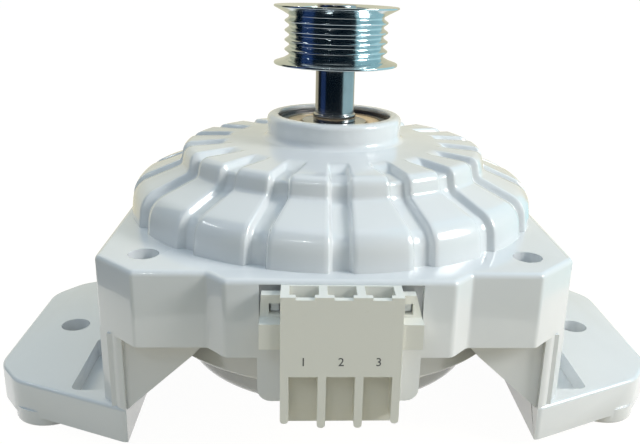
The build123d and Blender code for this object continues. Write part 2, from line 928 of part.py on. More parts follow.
def snap_tabs():
    right = prism_xz([
        (block_half_width - overrun, -tab_top),
        (block_half_width + tab_reach - tab_slant, -tab_top),
        (block_half_width + tab_reach, -tab_top - tab_step),
        (block_half_width + tab_reach, -tab_top - tab_drop),
        (block_half_width - overrun, -tab_top - tab_drop),
    ], tab_thin)
    right += block(block_half_width - overrun, block_half_width + tab_reach, -step_front - tab_thick,
                   -step_front - tab_thin + overrun, -tab_top - tab_drop, -tab_top - tab_step)
    low_x = block_half_width + window_inset - window_size / 2
    right -= block(low_x, low_x + window_size, -step_front - tab_thin - overrun, -step_front + overrun,
                   -tab_top - window_drop - window_size, -tab_top - window_drop)
    return [right, mirror(right, about=Plane.YZ)]


def prism_xz(points, depth):
    """Plate standing on the front face of the step, with its outline in X and Z."""
    face = Plane.XZ * make_face(Polyline(*points, close=True))
    return Pos(0, -step_front, 0) * extrude(face, depth)


def terminals():
    blades = []
    for x in channel_places():
        upright = block(x - blade_width / 2, x + blade_width / 2, blade_y - blade_thickness / 2,
                        blade_y + blade_thickness / 2, -blade_bottom, -blade_top)
        tail = block(x - tail_width / 2, x + tail_width / 2, blade_y, tail_end_y,
                     -blade_bottom, -blade_bottom + blade_thickness)
        blades.append(upright + tail)
    return blades


def write_bearing(name, low):
    place = Pos(0, 0, low)
    write(f"{name}_outer_ring", place * outer_ring())
    write(f"{name}_inner_ring", place * inner_ring())
    write(f"{name}_balls", [place * ball for ball in balls()])
    write(f"{name}_cage", place * cage())
    write(f"{name}_shields", [place * shield for shield in shields()])


write("motor_housing", motor_housing())
write("housing_dome", housing_dome())
right_foot = foot()
write("foot_right", right_foot)
write("foot_left", mirror(right_foot, about=Plane.YZ))
write("lower_cover", lower_cover())
write("cover_screws", cover_screws())
write("connector_housing", connector_housing())
write("terminals", terminals())
write("stator_core", stator_core())
write("insulator_upper", insulator_upper())
write("insulator_lower", insulator_lower())
for number, letter in enumerate("uvw"):
    write(f"coils_phase_{letter}", phase_coils(number))
write("lead_guide_ring", lead_guide_ring())
write("neutral_ring", neutral_ring())
write("rotor_core", rotor_core())
write("rotor_magnets", rotor_magnets())
write("rotor_hub", rotor_hub())
write("shaft", shaft())
write("retaining_rings", retaining_rings())
write("pulley", pulley())
write("bearing_cup", bearing_cup())
write("wave_washer", wave_washer())
write_bearing("upper", upper_bearing_bottom)
write_bearing("lower", lower_bearing_bottom)
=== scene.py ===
from math import asin, atan2, cos, hypot, pi, radians, sin, tan

import bmesh
import bpy
from bpy.props import FloatProperty, FloatVectorProperty, IntProperty, PointerProperty
from mathutils import Matrix, Vector


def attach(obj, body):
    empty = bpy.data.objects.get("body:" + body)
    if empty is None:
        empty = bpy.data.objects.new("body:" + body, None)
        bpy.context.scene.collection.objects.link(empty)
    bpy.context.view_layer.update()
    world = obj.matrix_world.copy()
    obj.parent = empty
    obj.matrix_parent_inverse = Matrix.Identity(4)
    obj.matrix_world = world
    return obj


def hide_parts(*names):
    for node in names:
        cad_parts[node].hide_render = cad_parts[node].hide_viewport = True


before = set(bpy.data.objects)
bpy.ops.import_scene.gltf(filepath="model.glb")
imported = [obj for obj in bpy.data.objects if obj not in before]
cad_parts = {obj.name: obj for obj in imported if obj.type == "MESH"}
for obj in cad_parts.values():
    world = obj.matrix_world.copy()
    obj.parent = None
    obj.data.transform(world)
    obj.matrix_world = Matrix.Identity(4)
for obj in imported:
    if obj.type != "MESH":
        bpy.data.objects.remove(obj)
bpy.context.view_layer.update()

bl_info = {
    "name": "Washing machine motor",
    "version": (1, 0, 0),
    "blender": (4, 5, 0),
    "location": "View3D > Sidebar > Motor",
    "description": "Moulded belt-drive motor with a ribbed dome, foot pads, terminal block and pulley",
    "category": "Object",
}

MM = 0.001

# Radii about the shaft that several shapes share, in millimetres
DOME_RADIUS = 52.0
CORE_SPACE_RADIUS = 44.6
BARREL_RADIUS = 47.6
BARREL_BORE = 36.0
COVER_RADIUS = 39.2
COLLAR_BORE = 14.5
CUP_RADIUS = 15.9
SHAFT_RADIUS = 5.0

# Heights over the plate's top, in millimetres
COLLAR_TOP = 24.0
CUP_TOP = 22.9
BEARING_TOP = 22.3
BEARING_HEIGHT = 9.0
SEAM = -29.0
COVER_TOP = -29.5
COVER_BOTTOM = -39.6
PAD_TOP = -34.9
PAD_BOTTOM = -43.5
FEET_BOTTOM = -46.0

# Places along X and Y, in millimetres
WALL_INNER = 46.6
PLATE_SIDE = 52.3
FEET_MIDDLE = -4.0
FOOT_FRONT = -46.4
WEB_BACK = -41.0
BLOCK_FRONT = -62.0
BLOCK_BACK = -55.6

# Finish of every surface
RELIEF_DISTANCE = 0.05 * MM
COAT_ROUGHNESS = 0.04

# Camera of the photograph: place in metres, picture in pixels, sensor in millimetres
CAMERA_PLACE = (-0.00808, -0.19510, 0.05791)
CAMERA_RIGHT = (0.9979, -0.05678, 0.03112)
CAMERA_DOWN = (0.01196, -0.31071, -0.95043)
CAMERA_AHEAD = (0.06363, 0.94881, -0.30938)
PHOTO_WIDTH = 640.0
FOCAL_LENGTH = 753.0
MIDDLE_COLUMN = 350.0
SENSOR_WIDTH = 36.0

WHITE = (1.0, 1.0, 1.0, 1.0)


def millimetres(name, description, default, low=0.0, high=200.0):
    return FloatProperty(name=name, description=description, default=default, min=low, max=high)


def colour(name, description, default):
    return FloatVectorProperty(name=name, description=description, subtype="COLOR", size=3, min=0.0,
                               max=1.0, default=default)


class MotorHousingSettings(bpy.types.PropertyGroup):
    half_width: millimetres("Plate half width", "From the shaft to the plate's side, in mm",
                            PLATE_SIDE)
    half_depth: millimetres("Plate half depth", "From the shaft to the plate's front, in mm", 51.2)
    corner: millimetres("Corner chamfer", "Size of the plate's corner chamfers, in mm", 9.5)
    step: millimetres("Front step", "How far the middle of the front stands out, in mm", 4.4)
    skirt: millimetres("Skirt depth", "Height of the plate's skirt, in mm", 17.2)
    edge: millimetres("Edge radius", "Rounding of the plate's top edge, in mm", 1.3)
    groove_count: IntProperty(name="Grooves", description="Radial grooves of the dome",
                              default=18, min=4, max=60)
    groove_width: millimetres("Groove width", "Width of a radial groove, in mm", 4.3)
    groove_depth: millimetres("Groove depth", "Depth of a radial groove, in mm", 1.6)
    groove_edge: millimetres("Groove edge", "Half width of a groove's rounded wall, in mm", 0.55)
    tint: colour("Moulding colour", "Colour of the glossy moulding", (0.80, 0.815, 0.82))


class MotorConnectorSettings(bpy.types.PropertyGroup):
    half_width: millimetres("Half width", "Half the width of the terminal block, in mm", 12.1)
    wall: millimetres("Rib width", "Width of the ribs between the channels, in mm", 1.7)
    edge: millimetres("Edge radius", "Rounding of the block's edges, in mm", 0.28)
    tint: colour("Block colour", "Colour of the matt terminal block", (0.84, 0.83, 0.765))


class MotorPulleySettings(bpy.types.PropertyGroup):
    pitch: millimetres("Groove pitch", "Distance between belt grooves, in mm", 2.34)
    crest: millimetres("Crest radius", "Radius over the rib crests, in mm", 13.25)
    valley: millimetres("Valley radius", "Radius at the groove bottoms, in mm", 11.6)
    flange: millimetres("Flange radius", "Radius of the flared flanges, in mm", 15.7)
    tint: colour("Plating colour", "Colour of the bright plating", (0.62, 0.68, 0.70))


class MotorBearingSettings(bpy.types.PropertyGroup):
    seal_tint: colour("Seal colour", "Colour of the bearing's seal", (0.90, 0.66, 0.38))
    steel_tint: colour("Steel colour", "Colour of ground steel", (0.42, 0.42, 0.43))


class MotorStageSettings(bpy.types.PropertyGroup):
    floor: colour("Floor colour", "Colour of the plain floor", (0.46, 0.39, 0.25))
    key: FloatProperty(name="Key light", description="Power of the lamp on the right",
                       default=4.3, min=0.0, max=100.0)
    back: FloatProperty(name="Back light", description="Power of the warm lamp behind on the left",
                        default=1.2, min=0.0, max=100.0)
    horizon: FloatProperty(name="Horizon", description="Strength of the surroundings at the sides",
                           default=0.31, min=0.0, max=2.0)
    sky: FloatProperty(name="Sky", description="Strength of the surroundings overhead",
                       default=0.64, min=0.0, max=2.0)


SETTINGS = {
    "motor_housing": MotorHousingSettings,
    "motor_connector": MotorConnectorSettings,
    "motor_pulley": MotorPulleySettings,
    "motor_bearing": MotorBearingSettings,
    "motor_stage": MotorStageSettings,
}


# Meshes
def piece(name, mesh, material, body="stator", nodes=(), smooth=True):
    """Visible piece of a mesh, riding a body and standing in for the nodes that it replaces."""
    mesh.materials.clear()
    mesh.materials.append(material)
    for face in mesh.polygons:
        face.use_smooth = smooth
    thing = bpy.data.objects.new(name, mesh)
    bpy.context.scene.collection.objects.link(thing)
    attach(thing, body)
    if nodes:
        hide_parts(*nodes)
    return thing


def mesh_of(name, build):
    """Mesh that a function fills, with its faces turned outward."""
    mesh = bpy.data.meshes.new(name)
    bm = bmesh.new()
    build(bm)
    bmesh.ops.recalc_face_normals(bm, faces=bm.faces)
    bm.to_mesh(mesh)
    bm.free()
    return mesh


def lathe(name, profile, turns=144):
    """Closed profile of radius and height, in millimetres, turned about Z."""
    def build(bm):
        rings = []
        for radius, height in profile:
            if radius < 1e-6:
                rings.append([bm.verts.new((0, 0, height * MM))])
                continue
            rings.append([bm.verts.new((radius * MM * cos(2 * pi * k / turns),
                                        radius * MM * sin(2 * pi * k / turns), height * MM))
                          for k in range(turns)])
        for first, second in zip(rings, rings[1:] + rings[:1]):
            for k in range(turns):
                n = (k + 1) % turns
                corners = [first[k % len(first)], first[n % len(first)],
                           second[n % len(second)], second[k % len(second)]]
                corners = list(dict.fromkeys(corners))
                if len(corners) > 2:
                    bm.faces.new(corners)
    return mesh_of(name, build)


def rounded(points, radii, steps=5):
    """Closed outline with its corners rounded; the radii match the points."""
    out = []
    count = len(points)
    for k, (point, radius) in enumerate(zip(points, radii)):
        before = Vector(points[k - 1])
        here = Vector(point)
        after = Vector(points[(k + 1) % count])
        if radius <= 0:
            out.append(tuple(here))
            continue
        to_before = before - here
        to_after = after - here
        length = min(to_before.length, to_after.length)
        to_before.normalize()
        to_after.normalize()
        half = to_before.angle(to_after) / 2
        reach = min(radius / tan(half), 0.48 * length)
        size = reach * tan(half)
        middle = here + (to_before + to_after).normalized() * (size / sin(half))
        start = here + to_before * reach - middle
        end = here + to_after * reach - middle
        turn = atan2(start.x * end.y - start.y * end.x, start.dot(end))
        for n in range(steps + 1):
            angle = turn * n / steps
            spoke = Vector((start.x * cos(angle) - start.y * sin(angle),
                            start.x * sin(angle) + start.y * cos(angle)))
            out.append(tuple(middle + spoke))
    return out


def arc(x, y, radius, first, last, steps=5):
    """Points on an arc about a centre, between two angles in degrees."""
    angles = [radians(first + (last - first) * k / steps) for k in range(steps + 1)]
    return [(x + radius * cos(angle), y + radius * sin(angle)) for angle in angles]


def prism(name, outline, low, high):
    """Prism with its outline in X and Y, between two heights."""
    def build(bm):
        bottom = [bm.verts.new((x * MM, y * MM, low * MM)) for x, y in outline]
        top = [bm.verts.new((x * MM, y * MM, high * MM)) for x, y in outline]
        bm.faces.new(bottom)
        bm.faces.new(top)
        for k in range(len(outline)):
            n = (k + 1) % len(outline)
            bm.faces.new([bottom[k], bottom[n], top[n], top[k]])
    return mesh_of(name, build)


def upright_prism(name, outline, front, back):
    """Prism with its outline in X and Z, from the front to the back along Y."""
    mesh = prism(name, outline, -back, -front)
    mesh.transform(Matrix.Rotation(pi / 2, 4, "X"))
    return mesh


def block(name, x0, x1, y0, y1, z0, z1):
    return prism(name, [(x0, y0), (x1, y0), (x1, y1), (x0, y1)], z0, z1)


def disc(name, radius, low, high, x=0.0, y=0.0, turns=48):
    outline = [(x + radius * cos(2 * pi * k / turns), y + radius * sin(2 * pi * k / turns))
               for k in range(turns)]
    return prism(name, outline, low, high)


def combine(mesh, others, operation):
    """Boolean of the mesh with each of the others."""
    thing = bpy.data.objects.new("work", mesh)
    bpy.context.scene.collection.objects.link(thing)
    tools = []
    for other in others:
        tool = bpy.data.objects.new("work_tool", other)
        bpy.context.scene.collection.objects.link(tool)
        tools.append(tool)
        modifier = thing.modifiers.new("combine", "BOOLEAN")
        modifier.operation = operation
        modifier.solver = "EXACT"
        modifier.object = tool
    result = evaluated(thing)
    for tool in tools + [thing]:
        bpy.data.objects.remove(tool)
    return result


def evaluated(thing):
    graph = bpy.context.evaluated_depsgraph_get()
    graph.update()
    return bpy.data.meshes.new_from_object(thing.evaluated_get(graph), depsgraph=graph)


def soften(thing, width, segments=3, angle=32):
    """Round a piece's edges that are sharper than the angle, in millimetres and degrees."""
    bevel = thing.modifiers.new("rounded edges", "BEVEL")
    bevel.width = width * MM
    bevel.segments = segments
    bevel.limit_method = "ANGLE"
    bevel.angle_limit = radians(angle)
    bevel.harden_normals = True
    bevel.use_clamp_overlap = True
    return thing


def mirrored(mesh):
    """Copy of a mesh on the other side of the YZ plane."""
    other = mesh.copy()
    other.transform(Matrix.Scale(-1, 4, (1, 0, 0)))
    other.flip_normals()
    return other


def round_edges(mesh, height, width, segments=4):
    """Round the edges that lie at a height."""
    near = 1e-6
    bm = bmesh.new()
    bm.from_mesh(mesh)
    edges = [e for e in bm.edges if all(abs(v.co.z - height * MM) < near for v in e.verts)]
    bmesh.ops.bevel(bm, geom=edges, offset=width * MM, segments=segments, profile=0.5, affect="EDGES")
    bm.to_mesh(mesh)
    bm.free()
    return mesh


# Shader node groups
def new_group(name, inputs, outputs):
    group = bpy.data.node_groups.new(name, "ShaderNodeTree")
    for label, kind, default in inputs:
        socket = group.interface.new_socket(name=label, in_out="INPUT", socket_type=kind)
        socket.default_value = default
    for label, kind in outputs:
        group.interface.new_socket(name=label, in_out="OUTPUT", socket_type=kind)
    return group, group.nodes.new("NodeGroupInput"), group.nodes.new("NodeGroupOutput")


def noise(tree, vector, scale, detail=3.0):
    node = tree.nodes.new("ShaderNodeTexNoise")
    node.inputs["Detail"].default_value = detail
    if isinstance(scale, (int, float)):
        node.inputs["Scale"].default_value = scale
    else:
        tree.links.new(scale, node.inputs["Scale"])
    tree.links.new(vector, node.inputs["Vector"])
    return node.outputs["Fac"]


def ramp(tree, factor, low, high, start=0.0, end=1.0):
    node = tree.nodes.new("ShaderNodeMapRange")
    for label, value in (("From Min", start), ("From Max", end), ("To Min", low), ("To Max", high)):
        if isinstance(value, (int, float)):
            node.inputs[label].default_value = value
        else:
            tree.links.new(value, node.inputs[label])
    tree.links.new(factor, node.inputs["Value"])
    return node.outputs["Result"]


def mix(tree, factor, first, second):
    node = tree.nodes.new("ShaderNodeMix")
    node.data_type = "RGBA"
    for label, value in (("Factor", factor), ("A", first), ("B", second)):
        socket = [s for s in node.inputs if s.name == label and s.enabled][0]
        if isinstance(value, (int, float, tuple)):
            socket.default_value = value
        else:
            tree.links.new(value, socket)
    return [s for s in node.outputs if s.enabled][0]


def compute(tree, operation, first, second=0.0):
    node = tree.nodes.new("ShaderNodeMath")
    node.operation = operation
    for socket, value in zip(node.inputs, (first, second)):
        if isinstance(value, (int, float)):
            socket.default_value = value
        else:
            tree.links.new(value, socket)
    return node.outputs[0]


def moulding_group():
    """Moulded plastic: faint cloudiness, warm shade in patches, fine grain and specks of dust."""
    group, start, end = new_group(
        "moulded surface",
        [("Vector", "NodeSocketVector", (0, 0, 0)), ("Colour", "NodeSocketColor", (0.8, 0.8, 0.8, 1)),
         ("Shade", "NodeSocketColor", (0.7, 0.7, 0.66, 1)), ("Grain Scale", "NodeSocketFloat", 2500.0),
         ("Smooth", "NodeSocketFloat", 0.2), ("Rough", "NodeSocketFloat", 0.3)],
        [("Colour", "NodeSocketColor"), ("Roughness", "NodeSocketFloat"), ("Height", "NodeSocketFloat")])
    vector = start.outputs["Vector"]
    cloud = noise(group, vector, scale=38.0, detail=2.0)
    patches = ramp(group, cloud, 0.0, 0.35, start=0.45, end=0.75)
    shaded = mix(group, patches, start.outputs["Colour"], start.outputs["Shade"])
    dust = ramp(group, noise(group, vector, scale=900.0, detail=1.0), 0.0, 0.25, start=0.70, end=0.78)
    dusty = mix(group, dust, shaded, start.outputs["Shade"])
    group.links.new(dusty, end.inputs["Colour"])
    rough = ramp(group, noise(group, vector, scale=120.0), start.outputs["Smooth"],
                 start.outputs["Rough"], start=0.3, end=0.7)
    group.links.new(rough, end.inputs["Roughness"])
    grain = noise(group, vector, start.outputs["Grain Scale"], detail=2.0)
    wave = noise(group, vector, scale=55.0, detail=1.0)
    group.links.new(compute(group, "ADD", compute(group, "MULTIPLY", grain, 0.12),
                         compute(group, "MULTIPLY", wave, 0.9)), end.inputs["Height"])
    return group


def turned_group():
    """Turned or ground metal: fine lines round the Z axis and stains."""
    group, start, end = new_group(
        "turned metal",
        [("Vector", "NodeSocketVector", (0, 0, 0)), ("Colour", "NodeSocketColor", (0.5, 0.5, 0.5, 1)),
         ("Stain", "NodeSocketColor", (0.4, 0.4, 0.35, 1)), ("Line Scale", "NodeSocketFloat", 4000.0),
         ("Smooth", "NodeSocketFloat", 0.15), ("Rough", "NodeSocketFloat", 0.3)],
        [("Colour", "NodeSocketColor"), ("Roughness", "NodeSocketFloat"), ("Height", "NodeSocketFloat")])
    vector = start.outputs["Vector"]
    split = group.nodes.new("ShaderNodeSeparateXYZ")
    group.links.new(vector, split.inputs[0])
    squares = [compute(group, "POWER", split.outputs[axis], 2.0) for axis in ("X", "Y")]
    radius = compute(group, "SQRT", compute(group, "ADD", *squares))
    joined = group.nodes.new("ShaderNodeCombineXYZ")
    group.links.new(radius, joined.inputs["X"])
    group.links.new(split.outputs["Z"], joined.inputs["Y"])
    lines = noise(group, joined.outputs[0], start.outputs["Line Scale"], detail=2.0)
    stain = ramp(group, noise(group, vector, scale=160.0, detail=4.0), 0.0, 0.6, start=0.5, end=0.72)
    group.links.new(mix(group, stain, start.outputs["Colour"], start.outputs["Stain"]),
                    end.inputs["Colour"])
    rough = ramp(group, lines, start.outputs["Smooth"], start.outputs["Rough"], start=0.3, end=0.7)
    group.links.new(rough, end.inputs["Roughness"])
    group.links.new(lines, end.inputs["Height"])
    return group


def node_group(name, build):
    """Shared node group, built the first time that it is asked for."""
    return bpy.data.node_groups.get(name) or build()


def surface(name, group, values, bump, metallic=0.0, coat=0.0):
    """Material that places a node group and feeds the Principled shader from it."""
    material = bpy.data.materials.get(name)
    if material:
        return material
    material = bpy.data.materials.new(name)
    material.use_nodes = True
    tree = material.node_tree
    shader = tree.nodes["Principled BSDF"]
    placed = tree.nodes.new("ShaderNodeGroup")
    placed.node_tree = group
    coordinates = tree.nodes.new("ShaderNodeTexCoord")
    tree.links.new(coordinates.outputs["Object"], placed.inputs["Vector"])
    for label, value in values.items():
        if not isinstance(value, (int, float)):
            value = (*value, 1.0)
        placed.inputs[label].default_value = value
    tree.links.new(placed.outputs["Colour"], shader.inputs["Base Color"])
    tree.links.new(placed.outputs["Roughness"], shader.inputs["Roughness"])
    relief = tree.nodes.new("ShaderNodeBump")
    relief.inputs["Strength"].default_value = bump
    relief.inputs["Distance"].default_value = RELIEF_DISTANCE
    tree.links.new(placed.outputs["Height"], relief.inputs["Height"])
    tree.links.new(relief.outputs["Normal"], shader.inputs["Normal"])
    shader.inputs["Metallic"].default_value = metallic
    shader.inputs["Coat Weight"].default_value = coat
    shader.inputs["Coat Roughness"].default_value = COAT_ROUGHNESS
    material.diffuse_color = (*values["Colour"], 1.0)
    return material


def moulded(name, tint, shade, smooth, rough, bump=0.25, coat=0.0, grain=2500.0):
    """Moulded plastic, from a smooth to a rough roughness."""
    group = node_group("moulded surface", moulding_group)
    values = {"Colour": tint, "Shade": shade, "Grain Scale": grain, "Smooth": smooth, "Rough": rough}
    return surface(name, group, values, bump, coat=coat)


def turned(name, tint, stain, smooth, rough, bump=0.15, lines=4000.0):
    """Turned, ground or drawn metal, from a smooth to a rough roughness."""
    group = node_group("turned metal", turned_group)
    values = {"Colour": tint, "Stain": stain, "Line Scale": lines, "Smooth": smooth, "Rough": rough}
    return surface(name, group, values, bump, metallic=1.0)


def housing_material():
    tint = tuple(bpy.context.scene.motor_housing.tint)
    return moulded("glossy moulded resin", tint, (0.76, 0.775, 0.77), 0.16, 0.26, 0.3, coat=0.8)


def connector_material():
    tint = tuple(bpy.context.scene.motor_connector.tint)
    return moulded("matt cream nylon", tint, (0.78, 0.77, 0.69), 0.48, 0.6, 0.35, grain=3500.0)


# Housing
def dome_profile():
    """Outside of the dome from its foot to the collar, in millimetres."""
    points = [(DOME_RADIUS, -1.0), (DOME_RADIUS, 0.0), (51.1, 7.4), (39.4, 12.1), (38.5, 16.6),
              (17.1, 17.9), (17.4, COLLAR_TOP), (COLLAR_BORE, COLLAR_TOP), (COLLAR_BORE, CUP_TOP)]
    radii = [0, 0, 6.8, 1.6, 2.6, 1.8, 1.9, 0.5, 0]
    return rounded(points, radii, 10)


def evenly(points, spacing):
    """Open line with points added so that none stand further apart than about the spacing."""
    out = [points[0]]
    for a, b in zip(points, points[1:]):
        length = hypot(b[0] - a[0], b[1] - a[1])
        count = max(1, round(length / spacing))
        out += [(a[0] + (b[0] - a[0]) * k / count, a[1] + (b[1] - a[1]) * k / count)
                for k in range(1, count + 1)]
    return out


def ease(value):
    """Smooth step from 0 to 1."""
    value = min(1.0, max(0.0, value))
    return value * value * (3 - 2 * value)


def dome_mesh(settings):
    """Dome with its radial grooves sunk into the turned outside."""
    ring_spacing, wall_steps, between = 0.9, 6, 11
    smooth_radius, smooth_height = 24.0, 17.6
    groove_start, run_in = 27.0, 4.0
    coil_roof, core_top, foot = 12.8, 7.1, -1.0
    outside = evenly(dome_profile(), ring_spacing)
    inside = [(CUP_RADIUS, CUP_TOP), (CUP_RADIUS, coil_roof), (BARREL_BORE, coil_roof),
              (BARREL_BORE, core_top), (CORE_SPACE_RADIUS, core_top), (CORE_SPACE_RADIUS, foot)]
    half = settings.groove_width / 2
    edge = settings.groove_edge
    sector = 2 * pi / settings.groove_count
    across = [half + edge * (2 * k / wall_steps - 1) for k in range(wall_steps + 1)]
    across = [-t for t in reversed(across)] + [0.0] + across

    def columns(radius):
        """Angles of one groove and the land after it, with the groove's walls parallel."""
        reach = max(radius, 2.2 * half)
        angles = [asin(min(1.0, t / reach)) for t in across]
        first = angles[-1]
        last = sector - first
        angles += [first + (last - first) * k / between for k in range(1, between)]
        return angles

    def normal(k):
        """Outward direction at a point of the outside."""
        a = outside[max(0, k - 1)]
        b = outside[min(len(outside) - 1, k + 1)]
        dr, dz = b[0] - a[0], b[1] - a[1]
        size = hypot(dr, dz) or 1.0
        return dz / size, -dr / size

    def depth(radius, height, angle):
        """How far a point is sunk into the surface."""
        if radius < smooth_radius or height > smooth_height:
            return 0.0
        centred = min(angle, sector - angle)
        offset = radius * sin(abs(centred))
        wall = 1 - ease((offset - half + edge) / (2 * edge))
        return settings.groove_depth * wall * ease((radius - groove_start) / run_in)

    def build(bm):
        rings = []
        for k, (radius, height) in enumerate(outside + inside):
            ring = []
            nr, nz = normal(k) if k < len(outside) else (0, 0)
            if height <= 0:
                nr, nz = 1.0, 0.0
            for s in range(settings.groove_count):
                for angle in columns(radius):
                    sunk = depth(radius, height, angle) if k < len(outside) else 0.0
                    r = radius - nr * sunk
                    z = height - nz * sunk
                    turn = s * sector + angle - pi / 2
                    ring.append(bm.verts.new((r * MM * cos(turn), r * MM * sin(turn), z * MM)))
            rings.append(ring)
        for first, second in zip(rings, rings[1:] + rings[:1]):
            for k in range(len(first)):
                n = (k + 1) % len(first)
                bm.faces.new([first[k], first[n], second[n], second[k]])
    return mesh_of("dome", build)


def plate_outline(s):
    """Square plate with chamfered corners, its front stepped out in the middle."""
    corner_x = s.half_width - s.corner
    corner_y = s.half_depth - s.corner
    front = s.half_depth + s.step
    right = [(23.6, -front), (27.6, -s.half_depth), (corner_x, -s.half_depth), (s.half_width, -corner_y),
             (s.half_width, corner_y), (corner_x, s.half_depth)]
    radii = [2.0, 1.6, 1.7, 1.7, 1.7, 1.7]
    points = right + [(-x, y) for x, y in reversed(right)]
    return rounded(points, radii + radii[::-1], 4)


def plate_mesh(s):
    """Plate with its skirt, front boss, holes, and the bay and hooks of the terminal block."""
    boss_half, boss_bottom = 17.0, -27.4
    bay_left, bay_right, bay_depth = -16.5, 16.9, 1.8
    hole_x, hole_y, hole_radius = 42.0, 41.2, 3.3
    hook_x, hook_half = 13.3, 0.8
    above = 2.0
    mesh = round_edges(prism("plate", plate_outline(s), -s.skirt, 0.0), 0.0, s.edge)
    front = s.half_depth + s.step
    outline = [(-boss_half, -10), (-boss_half, boss_bottom), (boss_half, boss_bottom), (boss_half, -10)]
    boss = upright_prism("boss", rounded(outline, [0, 2.8, 2.8, 0], 5), -front, -36.0)
    mesh = combine(mesh, [boss], "UNION")
    cutters = [disc("core space", CORE_SPACE_RADIUS, -14.0, above, turns=160),
               disc("barrel space", BARREL_BORE, -30.0, above, turns=160),
               block("bay", bay_left, bay_right, -front - 2, -front + bay_depth, -11.8, -0.95)]
    for x in (-hole_x, hole_x):
        for y in (-hole_y, hole_y):
            cutters.append(disc("hole", hole_radius, -12.0, above, x, y))
    mesh = combine(mesh, cutters, "DIFFERENCE")
    hooks = [block("hook", x - hook_half, x + hook_half, -front - 1.0, -front + 3.0, -6.1, -4.5)
             for x in (-hook_x, hook_x)]
    return combine(mesh, hooks, "UNION")


def turned_back(points):
    """The same points mirrored to the back of a foot, in the opposite order."""
    return [(x, 2 * FEET_MIDDLE - y) for x, y in reversed(points)]


def foot_outline():
    """Pad seen from above, with its two slanted outer corners."""
    front = [(44.0, FOOT_FRONT), (47.6, FOOT_FRONT), (75.5, -33.5), (81.8, -25.0)]
    return rounded(front + turned_back(front), [0, 2.3, 9, 10, 10, 9, 2.3, 0], 7)


def foot_mesh():
    """Right foot: pad with its troughs, hole and bosses, side wall and webs."""
    web_y = ((-45.0, WEB_BACK), (33.0, 37.0))
    trough_inner, trough_outer, trough_floor = 52.35, 61.2, -39.5
    trough_y = ((-38.2, -12.2), (4.2, 30.2))
    hole_x, hole_radius = 69.5, 3.7
    boss_x, boss_y, boss_radius = 68.8, (-27.7, 19.7), 8.6
    mesh = round_edges(prism("pad", foot_outline(), PAD_BOTTOM, PAD_TOP), PAD_TOP, 0.9)
    inner_side = block("inner side", 40.0, WALL_INNER, -60.0, 60.0, -50.0, -30.0)
    mesh = combine(mesh, [inner_side], "DIFFERENCE")
    front = [(WALL_INNER, WEB_BACK), *arc(46.37, -43.1, 3.2, -85.5, -45), (PLATE_SIDE, -41.7)]
    inside = [(47.7, 33.0), (47.7, WEB_BACK)]
    wall = prism("wall", front + turned_back(front) + inside, -43.4, -17.19)
    shape = rounded([(50.0, -17.1), (27.0, -17.1), (32.0, -22.6), (44.6, -34.0), (WALL_INNER, -35.9),
                     (46.65, -42.0), (50.0, -42.0)], [0, 0, 1.2, 1.0, 0, 0, 0], 4)
    webs = [upright_prism("web", shape, y0, y1) for y0, y1 in web_y]
    mesh = combine(mesh, [wall] + webs, "UNION")
    cutters = [disc("foot hole", hole_radius, -50.0, -30.0, hole_x, FEET_MIDDLE)]
    for y0, y1 in trough_y:
        outline = rounded([(trough_inner, y0), (trough_outer, y0), (trough_outer, y1),
                           (trough_inner, y1)], [2.6, 1.8, 1.8, 2.6], 4)
        cutters.append(prism("trough", outline, trough_floor, -30.0))
    mesh = combine(mesh, cutters, "DIFFERENCE")
    bosses = [round_edges(disc("boss", boss_radius, FEET_BOTTOM, -42.0, boss_x, y), FEET_BOTTOM, 0.6)
              for y in boss_y]
    return combine(mesh, bosses, "UNION")


class MOTOR_OT_housing(bpy.types.Operator):
    """Build the moulded housing: dome, plate, barrel and feet"""
    bl_idname = "motor.housing"
    bl_label = "Housing"

    def execute(self, context):
        settings = context.scene.motor_housing
        resin = housing_material()
        piece("dome_shell", dome_mesh(settings), resin, nodes=("housing_dome",))
        plate = piece("housing_plate", plate_mesh(settings), resin, nodes=("motor_housing",))
        soften(plate, 0.35)
        right = foot_mesh()
        left = mirrored(right)
        soften(piece("right_foot", right, resin, nodes=("foot_right",)), 0.4)
        soften(piece("left_foot", left, resin, nodes=("foot_left",)), 0.4)
        barrel = rounded([(BARREL_RADIUS, -10.0), (BARREL_RADIUS, SEAM), (BARREL_BORE, SEAM),
                          (BARREL_BORE, -10.0)], [0, 0.7, 0.3, 0], 4)
        piece("housing_barrel", lathe("barrel", barrel), resin, nodes=("motor_housing",))
        return {"FINISHED"}


class MOTOR_OT_cover(bpy.types.Operator):
    """Build the round lower cover with its screw sinks"""
    bl_idname = "motor.cover"
    bl_label = "Lower cover"

    def execute(self, context):
        resin = housing_material()
        points = [(COVER_RADIUS, COVER_TOP), (COVER_RADIUS, COVER_BOTTOM), (0.0, COVER_BOTTOM),
                  (0.0, -37.3), (15.0, -37.3), (15.0, -27.7), (18.0, -27.7), (18.0, -37.2),
                  (29.8, -37.2), (29.8, COVER_TOP), (33.5, COVER_TOP), (33.5, -26.5), (35.9, -26.5),
                  (35.9, COVER_TOP)]
        mesh = lathe("lower cover", rounded(points, [0.4, 3.0] + [0] * 12, 6))
        screw_circle, sink_radius = 33, 3.8
        sinks = []
        for k in range(4):
            turn = pi / 4 + k * pi / 2
            sinks.append(disc("sink", sink_radius, -42.0, -37.4, screw_circle * cos(turn),
                              screw_circle * sin(turn), turns=32))
        mesh = combine(mesh, sinks, "DIFFERENCE")
        cover = piece("lower_cover_shell", mesh, resin, nodes=("lower_cover",))
        soften(cover, 0.3, 2)
        return {"FINISHED"}


